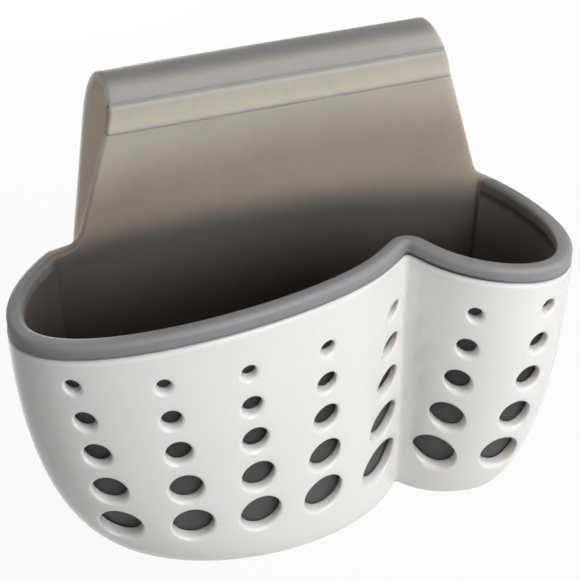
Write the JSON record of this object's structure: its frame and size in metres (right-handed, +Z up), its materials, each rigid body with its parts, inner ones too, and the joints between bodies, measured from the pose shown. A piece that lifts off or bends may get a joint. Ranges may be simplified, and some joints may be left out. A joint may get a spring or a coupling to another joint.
{
  "type": "kitchen sink caddy",
  "caption": "Perforated two-compartment sink caddy with a soft grey liner whose wide saddle strap folds over a sink divider.",
  "frame": {"origin": "on the underside of the shell, in the middle of the caddy's width", "axes": "+X along the width from the large compartment to the small one, -Y to the front, +Z up"},
  "size_m": [0.1875, 0.0937, 0.149],
  "materials": {
    "shell": "glossy white moulded plastic",
    "liner": "satin grey soft moulding",
    "strap_band": "satin grey soft moulding",
    "strap_hook": "satin grey soft moulding"
  },
  "bodies": {
    "shell": {"shell": "shell"},
    "liner": {"liner": "liner"},
    "strap_band": {"strap_band": "strap_band"},
    "strap_hook": {"strap_hook": "strap_hook"}
  },
  "joints": [
    {"name": "liner_lift", "type": "slide", "parent": "shell", "child": "liner", "axis": [0, 0, 1], "range_m": [0, 0.11]},
    {"name": "lower_fold", "type": "hinge", "parent": "liner", "child": "strap_band", "pos_m": [0.0088, 0.03345, 0.1336], "axis": [1, 0, 0], "range_deg": [0, 16], "stiffness_Nm_per_rad": 0.05},
    {"name": "upper_fold", "type": "hinge", "parent": "strap_band", "child": "strap_hook", "pos_m": [0.0088, 0.03488, 0.14115], "axis": [1, 0, 0], "range_deg": [0, 16], "stiffness_Nm_per_rad": 0.05}
  ]
}
